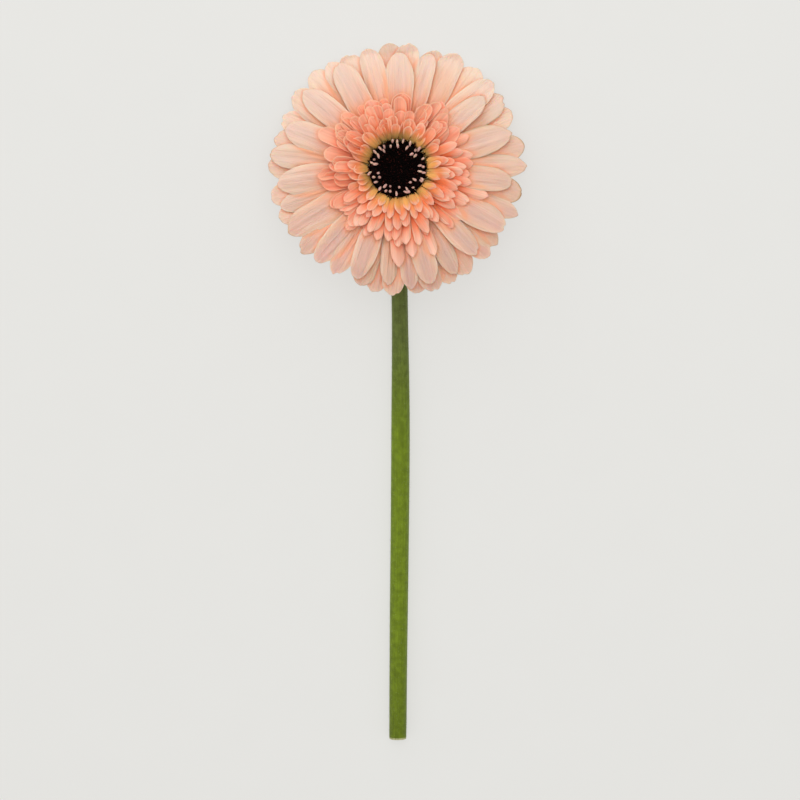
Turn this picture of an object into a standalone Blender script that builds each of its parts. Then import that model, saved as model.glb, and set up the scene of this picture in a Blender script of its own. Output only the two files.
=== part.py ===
"""Cut gerbera, one semi-double flower head on a bare stem, lying on a flat surface with its face up.

Metres, +Z up. The stem lies along -Y, the neck bends up, and the head leans back until the ray
florets at its far edge rest on the surface. Everything in the head is laid out in the head's own
frame: its z axis is the flower's axis, its y axis points away from the stem, and a bearing is an
angle in degrees measured clockwise from that y axis, as seen by someone looking at the face.
"""

import math

import bmesh
import bpy
from mathutils import Matrix, Vector

MM = 0.001
MERGE = 0.01 * MM  # points nearer than this are one point
TURN_STEPS = 36

# Driving dimensions
FACE_TILT = math.radians(29)  # lean of the flower's axis from straight up
HEAD_HEIGHT = 25.0 * MM  # from the surface to the plane where the ray florets start
STEM_REACH = 277.0 * MM  # from the head's centre to the cut end, along Y
STEM_RADIUS = 3.8 * MM
FLORET_THICKNESS = 0.5 * MM
TIER_SPACING = 1.3 * MM  # between the surfaces that the tiers of florets follow
FLOOR_TIER_SPACING = 0.9 * MM  # the same, where the florets are pressed flat on the surface
FLOOR_EASE = 1.0 * MM  # how gradually they flatten

# Ray florets
RAY_INNER = 8.8 * MM  # where the blade starts, from the flower's axis
RAY_OUTER = 53.0 * MM  # where the arch of the tiers ends
ARCH_CROWN = 2.8 * MM
ARCH_DROOP = 3.0 * MM
EDGE_DROP = 0.45 * MM  # how far a blade's sides lie below its middle
WIDEST_AT = 0.68  # share of the blade's length
RAY_STATIONS = (0, 0.3, 0.58, 0.8, 0.94, 1)  # shares of the length where its shape is given
RAY_STRIPS = 4  # faces across a blade
BASE_WIDTH = 0.16  # share of the blade's full width
TIP_STRETCH = 0.335  # share of the length over which an ellipse would close the tip

# The florets of each tier, from the back tier to the front one: (bearing in degrees, reach from
# the flower's axis in mm, full width in mm). Neighbours in a tier don't touch.
RAY_TIERS = (
    (
        (16, 51.3, 10.0), (37, 52.0, 10.5), (62, 51.8, 10.5), (155, 51.7, 8.4),
        (170, 51.2, 8.4), (190.5, 51.2, 9.5), (249, 52.5, 10.5), (271.5, 52.9, 10.5),
        (296.5, 51.4, 10.5), (319, 52.2, 10.0), (336.5, 51.2, 10.0), (357.5, 52.9, 10.0),
    ),
    (
        (4.5, 52.9, 10.0), (26, 53.2, 10.0), (54.5, 51.6, 10.5), (78, 52.5, 10.5),
        (99, 51.8, 10.5), (126.5, 51.3, 10.5), (144.5, 52.0, 10.0), (164, 52.1, 10.0),
        (182, 51.8, 8.8), (197.5, 50.0, 8.4), (258.5, 53.2, 10.0), (286.5, 51.7, 10.5),
        (307, 52.1, 10.5), (328.5, 50.9, 9.5),
    ),
    (
        (14, 48.0, 9.0), (45, 51.7, 11.0), (86.5, 52.7, 9.5), (110, 52.8, 9.0),
        (134.5, 52.1, 8.6), (149.5, 49.6, 8.2), (173, 49.6, 7.5), (186, 48.0, 6.8),
        (211.5, 50.8, 9.0), (231, 52.5, 10.0), (252, 50.4, 9.0), (277, 52.4, 10.0),
        (347.5, 50.8, 9.6),
    ),
    (
        (2, 46.8, 11.2), (50.5, 45.2, 9.2), (70, 48.4, 11.4), (96.5, 47.2, 9.8),
        (118.5, 50.4, 11.4), (137, 48.0, 9.0), (163.5, 49.6, 9.0), (201.5, 48.4, 9.4),
        (220.5, 51.0, 10.2), (241.5, 52.0, 11.6), (264, 49.6, 11.6), (290.5, 48.2, 11.4),
        (311, 48.8, 10.4), (330.5, 48.0, 10.8),
    ),
)

# Trans florets: rows of short florets between the rays and the disc. Row 1 has long ones in it.
FRILL_INNER = 12.8 * MM
LONG_FRILL_FLOOR = 21.0 * MM  # reach of the longest frill between its separate long florets
LONG_FLORETS = (  # (bearing in degrees, reach in mm, full width in mm)
    (3, 31.5, 6.5), (38, 33.5, 6.5), (62, 30.5, 6.0), (84, 31.5, 6.0),
    (109, 39.0, 6.0), (132, 34.5, 5.6), (144.5, 33.0, 5.2), (156.5, 39.0, 5.6),
    (167, 37.2, 5.4), (177.5, 31.0, 4.8), (188, 40.2, 6.2), (202, 31.0, 6.0),
    (223, 31.0, 6.0), (238, 31.8, 5.6), (256, 32.0, 6.6), (286, 31.0, 6.0),
    (302, 36.0, 5.6), (318, 30.5, 5.8), (346, 30.5, 6.4),
)
FRILLS = (  # (node, florets, reach, extra height at that reach)
    ("trans_florets_row_2", 26, 29.0 * MM, 0.4 * MM),
    ("trans_florets_row_3", 26, 24.0 * MM, 1.2 * MM),
    ("trans_florets_row_4", 22, 18.6 * MM, 2.2 * MM),
)
FRILL_NOTCH = 0.42  # depth of the gap between two florets, as a share of their length
FRILL_ROWS = 2  # faces along a floret
LOBE_STEPS = 3  # faces across a floret
LONG_FRILL_STEPS = 108  # faces round the whole of row 1

# Disc florets: a column of tubes on the receptacle, spreading to a dark eye at the top
COLUMN_RADIUS = 8.2 * MM
COLUMN_FOOT = -0.45 * MM
EYE_RADIUS = 12.3 * MM
EYE_UNDERSIDE = 5.3 * MM
EYE_CHAMFER = 0.8 * MM
EYE_EDGE_HEIGHT = 8.6 * MM
EYE_TOP = 9.4 * MM
EYE_STEPS = 4

# Receptacle: the swollen end of the stem, as (height below the ray florets, radius)
RECEPTACLE = (
    (-0.9 * MM, 10.4 * MM), (-2.6 * MM, 10.3 * MM), (-5.0 * MM, 9.2 * MM),
    (-8.0 * MM, 6.6 * MM), (-10.4 * MM, 4.7 * MM), (-12.6 * MM, 3.7 * MM),
)
NECK_TOP = -13.6 * MM
NECK_RADIUS = 3.4 * MM  # half the neck's thickness just under the head

# Involucre: the cup of green bracts round the receptacle
INVOLUCRE_WALL = 0.9 * MM
INVOLUCRE_GAP = 0.75 * MM
BRACTS = 16
BRACT_NOTCH = 1.6 * MM
BRACT_STEPS = 3  # faces across a bract
INVOLUCRE_ROWS = 4

# The stem lies along the surface, bows a little sideways, and swells a little at mid-length
STEM_BOW = 1.2 * MM
STEM_SWELL = 0.2 * MM
STEM_RUNS = 7
NECK_TURNS = 7
CUT_EDGE = 0.8 * MM  # rounding of the cut end's rim

HEAD = Matrix.Translation((0, 0, HEAD_HEIGHT)) @ Matrix.Rotation(-FACE_TILT, 4, "X")


def clear_scene():
    for obj in list(bpy.data.objects):
        bpy.data.objects.remove(obj, do_unlink=True)


def material(name, colour, roughness):
    made = bpy.data.materials.new(name)
    made.use_nodes = True
    shader = made.node_tree.nodes["Principled BSDF"]
    shader.inputs["Base Color"].default_value = (*colour, 1)
    shader.inputs["Roughness"].default_value = roughness
    shader.inputs["Metallic"].default_value = 0
    return made


def add_object(name, data, finish, collection, root):
    """A named object for one sub-part, in the flower's collection and parented to its root empty."""
    obj = bpy.data.objects.new(name, data)
    obj.parent = root
    data.materials.append(finish)
    collection.objects.link(obj)
    return obj


def thicken(obj, thickness):
    solidify = obj.modifiers.new("thickness", "SOLIDIFY")
    solidify.thickness = thickness
    solidify.offset = 0


def arch(radius):
    """Height of a tier's surface over its start: it rises from the cup and bends down to the tips."""
    share = (radius - RAY_INNER) / (RAY_OUTER - RAY_INNER)
    return 4 * ARCH_CROWN * share * (1 - share) - ARCH_DROOP * share**2


def resting(point, tier):
    """The point in the row frame, with whatever would dip under the surface pressed flat onto it."""
    placed = HEAD @ point
    floor = FLORET_THICKNESS / 2 + tier * FLOOR_TIER_SPACING
    over = placed.z - floor
    placed.z = floor + (over + math.hypot(over, FLOOR_EASE)) / 2
    return placed


def blade_width(share):
    """A blade's width at a share of its length, as a share of its full width."""
    if share <= WIDEST_AT:
        swell = math.sin(math.pi / 2 * share / WIDEST_AT) ** 1.6
        return BASE_WIDTH + (1 - BASE_WIDTH) * swell
    return math.sqrt(1 - ((share - WIDEST_AT) / TIP_STRETCH) ** 2)


def ray_floret_mesh(name, bearing, reach, width, tier):
    """One strap-shaped blade, from a grid whose x runs along the blade and whose y runs across it."""
    last = len(RAY_STATIONS) - 1
    bm = bmesh.new()
    bmesh.ops.create_grid(bm, x_segments=last, y_segments=RAY_STRIPS, size=0.5)
    turn = Matrix.Rotation(-math.radians(bearing), 4, "Z")
    for vertex in bm.verts:
        share = RAY_STATIONS[round((vertex.co.x + 0.5) * last)]
        side = 2 * vertex.co.y
        radius = RAY_INNER + (reach - RAY_INNER) * share
        half = width / 2 * blade_width(share)
        height = tier * TIER_SPACING + arch(radius) - EDGE_DROP * side**2 * share
        flat = turn @ Vector((-side * half, radius, height))
        vertex.co = resting(flat, tier)
    mesh = bpy.data.meshes.new(name)
    bm.to_mesh(mesh)
    bm.free()
    mesh.shade_smooth()
    return mesh


def ray_florets(finish, collection, root):
    number = 0
    for tier, florets in enumerate(RAY_TIERS):
        for bearing, reach, width in florets:
            number += 1
            name = f"ray_floret_{number:02d}"
            mesh = ray_floret_mesh(name, bearing, reach * MM, width * MM, tier)
            thicken(add_object(name, mesh, finish, collection, root), FLORET_THICKNESS)


def ring_mesh(name, around, rows, place):
    """A closed ring: a grid whose x runs once round the axis and whose y runs from row 0 to 1."""
    bm = bmesh.new()
    bmesh.ops.create_grid(bm, x_segments=around, y_segments=rows, size=0.5)
    for vertex in bm.verts:
        bearing = math.tau * (vertex.co.x + 0.5)
        vertex.co = place(bearing, vertex.co.y + 0.5)
    bmesh.ops.remove_doubles(bm, verts=bm.verts, dist=MERGE)
    bmesh.ops.recalc_face_normals(bm, faces=bm.faces)
    mesh = bpy.data.meshes.new(name)
    bm.to_mesh(mesh)
    bm.free()
    mesh.shade_smooth()
    return mesh


def polar(bearing, radius, height):
    return Vector((radius * math.sin(bearing), radius * math.cos(bearing), height))


def frill_mesh(name, reach_at, around, height_at):
    """A frill of short florets joined at their feet. reach_at gives its reach at a bearing."""

    def place(bearing, share):
        radius = FRILL_INNER + (reach_at(bearing) - FRILL_INNER) * share
        return HEAD @ polar(bearing, radius, height_at(radius))

    return ring_mesh(name, around, FRILL_ROWS, place)


def even_lobes(count, reach):
    """Equal florets round the frill, with round tips."""

    def reach_at(bearing):
        lobe = math.sqrt(abs(math.sin(bearing * count / 2)))
        return FRILL_INNER + (reach - FRILL_INNER) * (1 - FRILL_NOTCH * (1 - lobe))

    return reach_at


def listed_lobes(bearing):
    """Reach of the longest frill: its floor, or the round tip of a long floret at this bearing."""
    best = LONG_FRILL_FLOOR
    for centre, reach, width in LONG_FLORETS:
        tip = reach * MM
        off = math.degrees(bearing) - centre
        off = math.radians((off + 180) % 360 - 180) * tip
        span = off / (width * MM / 2)
        if abs(span) < 1:
            best = max(best, LONG_FRILL_FLOOR + (tip - LONG_FRILL_FLOOR) * (1 - span**2) ** 0.4)
    return best


def trans_florets(finish, collection, root):
    """The rows of short florets, each a frill on the surface of the next tier."""
    tier = len(RAY_TIERS)

    def first_height(radius):
        return tier * TIER_SPACING + arch(radius)

    name = "trans_florets_row_1"
    mesh = frill_mesh(name, listed_lobes, LONG_FRILL_STEPS, first_height)
    thicken(add_object(name, mesh, finish, collection, root), FLORET_THICKNESS)
    for row, (name, count, reach, lift) in enumerate(FRILLS, start=tier + 1):

        def height_at(radius, row=row, reach=reach, lift=lift):
            rise = (radius - FRILL_INNER) / (reach - FRILL_INNER)
            return row * TIER_SPACING + arch(radius) + lift * rise

        mesh = frill_mesh(name, even_lobes(count, reach), count * LOBE_STEPS, height_at)
        thicken(add_object(name, mesh, finish, collection, root), FLORET_THICKNESS)


def turned_solid(name, profile, finish, collection, root):
    """A solid of revolution about the flower's axis, from (radius, height) points, top to bottom."""
    mesh = bpy.data.meshes.new(name)
    points = [(radius, 0, height) for radius, height in profile]
    mesh.from_pydata(points, [(i, i + 1) for i in range(len(points) - 1)], [])
    obj = add_object(name, mesh, finish, collection, root)
    obj.matrix_local = HEAD
    screw = obj.modifiers.new("turn", "SCREW")
    screw.axis = "Z"
    screw.steps = screw.render_steps = TURN_STEPS
    screw.use_merge_vertices = True
    screw.merge_threshold = MERGE
    screw.use_smooth_shade = True


def disc_florets(finish, collection, root):
    """The dark eye and the column of floret tubes that carries it."""
    profile = [(0, EYE_TOP)]
    for step in range(1, EYE_STEPS + 1):
        angle = math.pi / 2 * step / EYE_STEPS
        height = EYE_EDGE_HEIGHT + (EYE_TOP - EYE_EDGE_HEIGHT) * math.cos(angle)
        profile.append((EYE_RADIUS * math.sin(angle), height))
    profile += [
        (EYE_RADIUS, EYE_UNDERSIDE + EYE_CHAMFER),
        (EYE_RADIUS - EYE_CHAMFER, EYE_UNDERSIDE),
        (COLUMN_RADIUS, EYE_UNDERSIDE),
        (COLUMN_RADIUS, COLUMN_FOOT),
        (0, COLUMN_FOOT),
    ]
    turned_solid("disc_florets", profile, finish, collection, root)


def involucre(finish, collection, root):
    """The cup of bracts, a thick shell round the receptacle with one rim lobe for each bract."""
    heights = [height for height, _ in RECEPTACLE]
    wall = INVOLUCRE_GAP + INVOLUCRE_WALL / 2

    def radius_at(height):
        for (top, wide), (low, narrow) in zip(RECEPTACLE, RECEPTACLE[1:]):
            if height >= low:
                return wide + (narrow - wide) * (top - height) / (top - low)
        return RECEPTACLE[-1][1]

    def place(bearing, share):
        lobe = math.sqrt(abs(math.sin(bearing * BRACTS / 2)))
        rim = heights[0] - BRACT_NOTCH * (1 - lobe)
        height = heights[-1] + (rim - heights[-1]) * share
        return HEAD @ polar(bearing, radius_at(min(height, heights[0])) + wall, height)

    mesh = ring_mesh("involucre", BRACTS * BRACT_STEPS, INVOLUCRE_ROWS, place)
    thicken(add_object("involucre", mesh, finish, collection, root), INVOLUCRE_WALL)


def stem_path():
    """(point, radius) from the cut end to the top of the receptacle."""
    neck = HEAD @ Vector((0, 0, NECK_TOP))
    bend = (neck.z - STEM_RADIUS) / (1 - math.sin(FACE_TILT))
    flat_y = neck.y - bend * math.cos(FACE_TILT)
    length = STEM_REACH + flat_y
    path = [
        (Vector((0, -STEM_REACH, STEM_RADIUS)), STEM_RADIUS - CUT_EDGE),
        (Vector((0, -STEM_REACH + CUT_EDGE, STEM_RADIUS)), STEM_RADIUS),
    ]
    for run in range(1, STEM_RUNS):
        share = run / STEM_RUNS
        sideways = STEM_BOW * math.sin(math.pi * share**1.5)
        radius = STEM_RADIUS + STEM_SWELL * math.sin(math.pi * share)
        path.append((Vector((sideways, -STEM_REACH + length * share, radius)), radius))
    for turn in range(NECK_TURNS + 1):
        angle = (math.pi / 2 - FACE_TILT) * turn / NECK_TURNS
        point = Vector((0, flat_y + bend * math.sin(angle), STEM_RADIUS + bend * (1 - math.cos(angle))))
        path.append((point, STEM_RADIUS + (NECK_RADIUS - STEM_RADIUS) * turn / NECK_TURNS))
    for height, radius in reversed(RECEPTACLE):
        path.append((HEAD @ Vector((0, 0, height)), radius))
    return path


def stem(finish, collection, root):
    """The scape and the receptacle that it swells into, as one tube of changing thickness."""
    curve = bpy.data.curves.new("stem", "CURVE")
    curve.dimensions = "3D"
    curve.bevel_depth = 1.0
    curve.bevel_resolution = 4
    curve.use_fill_caps = True
    path = stem_path()
    spline = curve.splines.new("POLY")
    spline.points.add(len(path) - 1)
    for knot, (point, radius) in zip(spline.points, path):
        knot.co = (*point, 1)
        knot.radius = radius
    add_object("stem", curve, finish, collection, root)


def rest_on_origin(root):
    """Moves the whole flower so that the middle of its box's underside is the origin."""
    bpy.context.view_layer.update()
    graph = bpy.context.evaluated_depsgraph_get()
    low = Vector((math.inf,) * 3)
    high = Vector((-math.inf,) * 3)
    for obj in root.children:
        evaluated = obj.evaluated_get(graph)
        mesh = evaluated.to_mesh()
        for vertex in mesh.vertices:
            point = evaluated.matrix_world @ vertex.co
            low = Vector(map(min, low, point))
            high = Vector(map(max, high, point))
        evaluated.to_mesh_clear()
    root.location = (-(low.x + high.x) / 2, -(low.y + high.y) / 2, -low.z)


def main():
    clear_scene()
    collection = bpy.data.collections.new("cut_gerbera")
    bpy.context.scene.collection.children.link(collection)
    root = bpy.data.objects.new("cut_gerbera_root", None)
    collection.objects.link(root)

    green = material("stem_green", (0.14, 0.21, 0.03), 0.6)
    bract_green = material("bract_green", (0.12, 0.18, 0.04), 0.65)
    peach = material("ray_peach", (0.80, 0.46, 0.32), 0.55)
    coral = material("trans_coral", (0.80, 0.30, 0.16), 0.55)
    maroon = material("disc_maroon", (0.012, 0.004, 0.003), 0.7)

    stem(green, collection, root)
    involucre(bract_green, collection, root)
    disc_florets(maroon, collection, root)

    ray_florets(peach, collection, root)
    trans_florets(coral, collection, root)
    rest_on_origin(root)


main()
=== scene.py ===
import math

import bpy
import numpy as np
from mathutils import Matrix, Vector, kdtree


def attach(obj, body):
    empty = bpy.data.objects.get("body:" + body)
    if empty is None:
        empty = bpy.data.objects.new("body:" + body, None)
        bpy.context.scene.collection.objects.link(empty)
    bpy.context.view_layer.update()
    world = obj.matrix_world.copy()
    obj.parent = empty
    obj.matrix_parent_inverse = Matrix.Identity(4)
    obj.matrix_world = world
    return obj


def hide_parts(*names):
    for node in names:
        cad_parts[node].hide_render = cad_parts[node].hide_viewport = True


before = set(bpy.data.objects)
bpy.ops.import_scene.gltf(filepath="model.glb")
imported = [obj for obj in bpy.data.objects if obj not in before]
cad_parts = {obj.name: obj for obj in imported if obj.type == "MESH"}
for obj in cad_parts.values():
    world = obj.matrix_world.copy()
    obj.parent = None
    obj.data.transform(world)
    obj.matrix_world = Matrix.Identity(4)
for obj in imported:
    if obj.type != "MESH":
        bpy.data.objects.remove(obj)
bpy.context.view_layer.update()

# Looks of the cut gerbera: every floret, anther, bract and hair as its own shape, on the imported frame.
#
# The head is laid out in flower coordinates, as in the CAD: z along the flower's axis, y away from the
# stem, and bearings clockwise from y as seen from above. HEAD turns them into the row frame.

MM = 0.001
BODY = "root"

# The head's layout, as the CAD has it
FACE_TILT = math.radians(29)
HEAD_HEIGHT = 25.0 * MM
STEM_REACH = 277.0 * MM
COLUMN_FOOT = -0.45 * MM
TIER_SPACING = 1.3 * MM
FLOOR_TIER_SPACING = 0.9 * MM
FLOOR_EASE = 1.0 * MM
RAY_INNER = 8.8 * MM
RAY_OUTER = 53.0 * MM
ARCH_CROWN = 2.8 * MM
ARCH_DROOP = 3.0 * MM
RAY_TIERS = 4
EYE_EDGE_HEIGHT = 8.6 * MM

FLOOR_GLOW = 0.7  # share of the floor's light that is its own, which softens the shadows on it

# Camera, as far off as a long lens would stand
CAMERA_TILT = math.radians(23.8)
CAMERA_DISTANCE = 1.64
CAMERA_LENS = 180.0
VIEW_WIDTH = CAMERA_DISTANCE * 36.0 / CAMERA_LENS
HEAD_IN_VIEW = Vector((-0.003, 0.2895))  # the head's place in the picture, from its middle, in widths


# ---- places

def points_of(node):
    """A CAD node's vertices in the row frame."""
    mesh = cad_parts[node].data
    flat = np.empty(len(mesh.vertices) * 3, np.float32)
    mesh.vertices.foreach_get("co", flat)
    return flat.reshape(-1, 3).astype(float)


def head_matrix():
    """From flower coordinates to the row frame, found from the turned disc."""
    turn = Matrix.Rotation(-FACE_TILT, 4, "X")
    disc = points_of("disc_florets") @ np.array(turn.to_3x3())
    middle = (disc.min(axis=0) + disc.max(axis=0)) / 2
    foot = Vector((middle[0], middle[1], disc[:, 2].min() - COLUMN_FOOT))
    return Matrix.Translation(turn @ foot) @ turn


HEAD = head_matrix()
TO_HEAD = HEAD.inverted()


def moved(points, matrix):
    """An array of points, shape (..., 3), moved by a 4x4 matrix."""
    whole = np.array(matrix)
    return points @ whole[:3, :3].T + whole[:3, 3]


def arch(radius):
    """Height of a tier's surface over its start: it rises from the cup and bends down to the tips."""
    share = (radius - RAY_INNER) / (RAY_OUTER - RAY_INNER)
    return 4 * ARCH_CROWN * share * (1 - share) - ARCH_DROOP * share**2


def smooth(low, high, value):
    """0 below low, 1 above high, and an S curve between."""
    share = np.clip((value - low) / (high - low), 0, 1)
    return share * share * (3 - 2 * share)


def turned(points, bearing):
    """Points laid out along +Y, turned to a bearing in radians."""
    return moved(points, Matrix.Rotation(-bearing, 4, "Z"))


# ---- meshes

def linked(name, data):
    """A new object, put into the scene."""
    made = bpy.data.objects.new(name, data)
    bpy.context.scene.collection.objects.link(made)
    return made


def unit(vectors):
    return vectors / np.linalg.norm(vectors, axis=-1, keepdims=True)


def add_mesh(name, grids, material, nodes=(), thickness=None, wrap=False):
    """One piece from grids of points. A grid is (points (n, m, 3), {attribute: (n, m, 3)}).

    wrap joins each grid's first row to its last, for tubes.
    """
    corners, quads, extras, start = [], [], {}, 0
    for points, attributes in grids:
        rows, columns = points.shape[:2]
        index = start + np.arange(rows * columns).reshape(rows, columns)
        if wrap:
            index = np.vstack([index, index[:1]])
        quads.append(np.stack(
            [index[:-1, :-1], index[1:, :-1], index[1:, 1:], index[:-1, 1:]], axis=-1
        ).reshape(-1, 4))
        corners.append(points.reshape(-1, 3))
        for key, values in attributes.items():
            extras.setdefault(key, []).append(values.reshape(-1, 3))
        start += rows * columns
    mesh = bpy.data.meshes.new(name)
    mesh.from_pydata(np.vstack(corners).tolist(), [], np.vstack(quads).tolist())
    for key, values in extras.items():
        made = mesh.attributes.new(key, "FLOAT_VECTOR", "POINT")
        made.data.foreach_set("vector", np.vstack(values).astype(np.float32).ravel())
    mesh.shade_smooth()
    mesh.materials.append(material)
    piece = linked(name, mesh)
    if thickness:
        solidify = piece.modifiers.new("thickness", "SOLIDIFY")
        solidify.thickness = thickness
        solidify.offset = 0
    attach(piece, BODY)
    if nodes:
        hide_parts(*nodes)
    return piece


def tube_grid(path, radii, sides):
    """A tube round a path, open at its ends, as a grid whose rows run round it."""
    path = np.asarray(path, float)
    tangent = unit(np.gradient(path, axis=0))
    helper = np.array([1.0, 0, 0]) if abs(tangent[0, 0]) < 0.9 else np.array([0, 1.0, 0])
    side = unit(np.cross(tangent, helper))
    other = np.cross(tangent, side)
    angle = np.linspace(0, math.tau, sides, endpoint=False)[:, None, None]
    ring = np.cos(angle) * side[None] + np.sin(angle) * other[None]
    points = path[None] + ring * np.asarray(radii, float)[None, :, None]
    return points, {}


# ---- materials

class Nodes:
    """Short ways to add shader nodes to one material."""

    def __init__(self, name):
        self.material = bpy.data.materials.new(name)
        self.material.use_nodes = True
        self.tree = self.material.node_tree
        self.shader = self.tree.nodes["Principled BSDF"]

    def put(self, value, socket):
        if isinstance(value, bpy.types.NodeSocket):
            self.tree.links.new(value, socket)
        else:
            socket.default_value = (*value, 1.0) if socket.type == "RGBA" else value

    def add(self, kind, *values, **settings):
        """A new node, with its settings and its first inputs filled in."""
        node = self.tree.nodes.new("ShaderNode" + kind)
        for key, setting in settings.items():
            setattr(node, key, setting)
        for value, socket in zip(values, node.inputs):
            self.put(value, socket)
        return node

    def attribute(self, name):
        """The three values of a mesh attribute."""
        vector = self.add("Attribute", attribute_name=name).outputs["Vector"]
        return tuple(self.add("SeparateXYZ", vector).outputs)

    def join(self, x, y, z):
        return self.add("CombineXYZ", x, y, z).outputs[0]

    def math(self, operation, first, second=0.0):
        return self.add("Math", first, second, operation=operation).outputs[0]

    def times(self, first, second):
        return self.math("MULTIPLY", first, second)

    def step(self, low, high, value, to_low=0.0, to_high=1.0):
        """An S curve from to_low at low to to_high at high."""
        node = self.add("MapRange", value, low, high, to_low, to_high, interpolation_type="SMOOTHSTEP")
        return node.outputs[0]

    def noise(self, vector, scale=1.0, detail=2.0, roughness=0.5):
        return self.add("TexNoise", vector, 0.0, scale, detail, roughness).outputs["Fac"]

    def grain(self, scale, detail):
        """Noise in the piece's own coordinates, which are metres."""
        return self.noise(self.add("TexCoord").outputs["Object"], scale, detail)

    def blade_noise(self, blade, wide, long, detail=2.0, roughness=0.5):
        """Noise that varies wide times over half a blade's width and long times over its length.

        blade is (across, along, a number of the floret's own, which moves the noise).
        """
        across, along, seed = blade
        place = self.join(self.times(across, wide), self.times(along, long), seed)
        return self.noise(place, 1.0, detail, roughness)

    def mix(self, factor, first, second):
        node = self.add("Mix", factor, data_type="RGBA")
        self.put(first, node.inputs[6])
        self.put(second, node.inputs[7])
        return node.outputs[2]

    def layers(self, colour, *layers):
        """Colour under layers of (tone, share, where), where each covers what lies under it."""
        for tone, share, where in layers:
            colour = self.mix(self.times(where, share), colour, tone)
        return colour

    def scale_colour(self, colour, factor):
        """Colour times a factor, which may be a socket."""
        node = self.add("VectorMath", colour, operation="SCALE")
        self.put(factor, node.inputs["Scale"])
        return node.outputs[0]

    def ramp(self, factor, stops):
        """stops is a list of (place, colour)."""
        node = self.add("ValToRGB", factor)
        elements = node.color_ramp.elements
        while len(elements) < len(stops):
            elements.new(0.5)
        for element, (place, colour) in zip(elements, stops):
            element.position = place
            element.color = (*colour, 1.0)
        return node.outputs[0]

    def bump(self, height, distance, strength=1.0):
        node = self.add("Bump", strength, distance)
        self.put(height, node.inputs["Height"])
        self.put(node.outputs[0], self.shader.inputs["Normal"])

    def finish(self, colour, roughness, specular=0.3, **values):
        """The finished material. values are named as the shader's inputs are, with _ for a space."""
        values.update(Base_Color=colour, Roughness=roughness, Specular_IOR_Level=specular)
        for key, value in values.items():
            self.put(value, self.shader.inputs[key.replace("_", " ")])
        return self.material


# Colours of the ray florets, as linear red, green and blue
RAY_COLOURS = (  # by distance from the flower's axis, as a share of RAY_COLOUR_REACH
    (0.30, (0.86, 0.20, 0.08)), (0.50, (0.87, 0.31, 0.16)), (0.64, (0.87, 0.42, 0.26)),
    (0.82, (0.83, 0.50, 0.34)), (1.0, (0.83, 0.57, 0.41)),
)
RAY_COLOUR_REACH = 54.0  # mm
BLUSH = (0.78, 0.47, 0.41)
CREAM = (0.87, 0.67, 0.51)
WARM_CORAL = (0.88, 0.32, 0.15)
# painted shade on the stem's side of the head, rose down the middle, and painted light on its far side
PAINTED_SHADE_PEACH = (0.72, 0.445, 0.305)
PAINTED_SHADE_ROSE = (0.63, 0.37, 0.315)
PAINTED_LIGHT_PEACH = (0.90, 0.67, 0.56)
# painted glow at the sides near the foot, where light comes through the gaps between petals
PAINTED_GAP_GLOW = (0.88, 0.27, 0.11)
# painted crevice shade on the lower parts of the creamier, lower-tier florets
PAINTED_CREVICE_APRICOT = (0.89, 0.42, 0.24)
PALE_STREAK = (0.90, 0.62, 0.53)
# painted crevice shade where a floret passes under another
PAINTED_CREVICE_CORAL = (0.93, 0.38, 0.20)
PAINTED_DEEP_CREVICE = (0.91, 0.30, 0.13)
RIM_CREAM = (0.89, 0.66, 0.52)
# tan tips and ochre and brown edges where florets are stained, with painted shade added on the right
TAN_STAIN_AND_SHADE = (0.66, 0.45, 0.31)
OCHRE = (0.56, 0.34, 0.15)
BROWN = (0.40, 0.22, 0.10)
CREASE_BROWN = (0.66, 0.38, 0.20)

# Colours of the trans florets
TRANS_COLOURS = (  # by distance from the flower's axis, as a share of TRANS_COLOUR_REACH
    (0.29, (0.14, 0.10, 0.02)), (0.345, (0.44, 0.22, 0.06)), (0.40, (0.82, 0.23, 0.085)),
    (0.55, (0.88, 0.19, 0.068)), (0.68, (0.88, 0.23, 0.10)), (0.80, (0.88, 0.32, 0.185)),
    (1.0, (0.88, 0.42, 0.30)),
)
TRANS_COLOUR_REACH = 40.0  # mm
YELLOW = (0.86, 0.38, 0.10)
# deeper coral at a short floret's foot, its own colour and painted crevice shade under the next ring
CORAL_RED_AND_CREVICE_SHADE = (0.84, 0.15, 0.05)
# painted light: the scoops, which lie towards the upper left, are lighter
PAINTED_LIGHT_CORAL = (0.93, 0.42, 0.27)
PINK_TIP = (0.93, 0.56, 0.43)
# painted crevice shade where a short floret passes under another
PAINTED_CREVICE_RED = (0.84, 0.14, 0.045)
ROLLED_RIM = (0.92, 0.50, 0.33)


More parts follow.
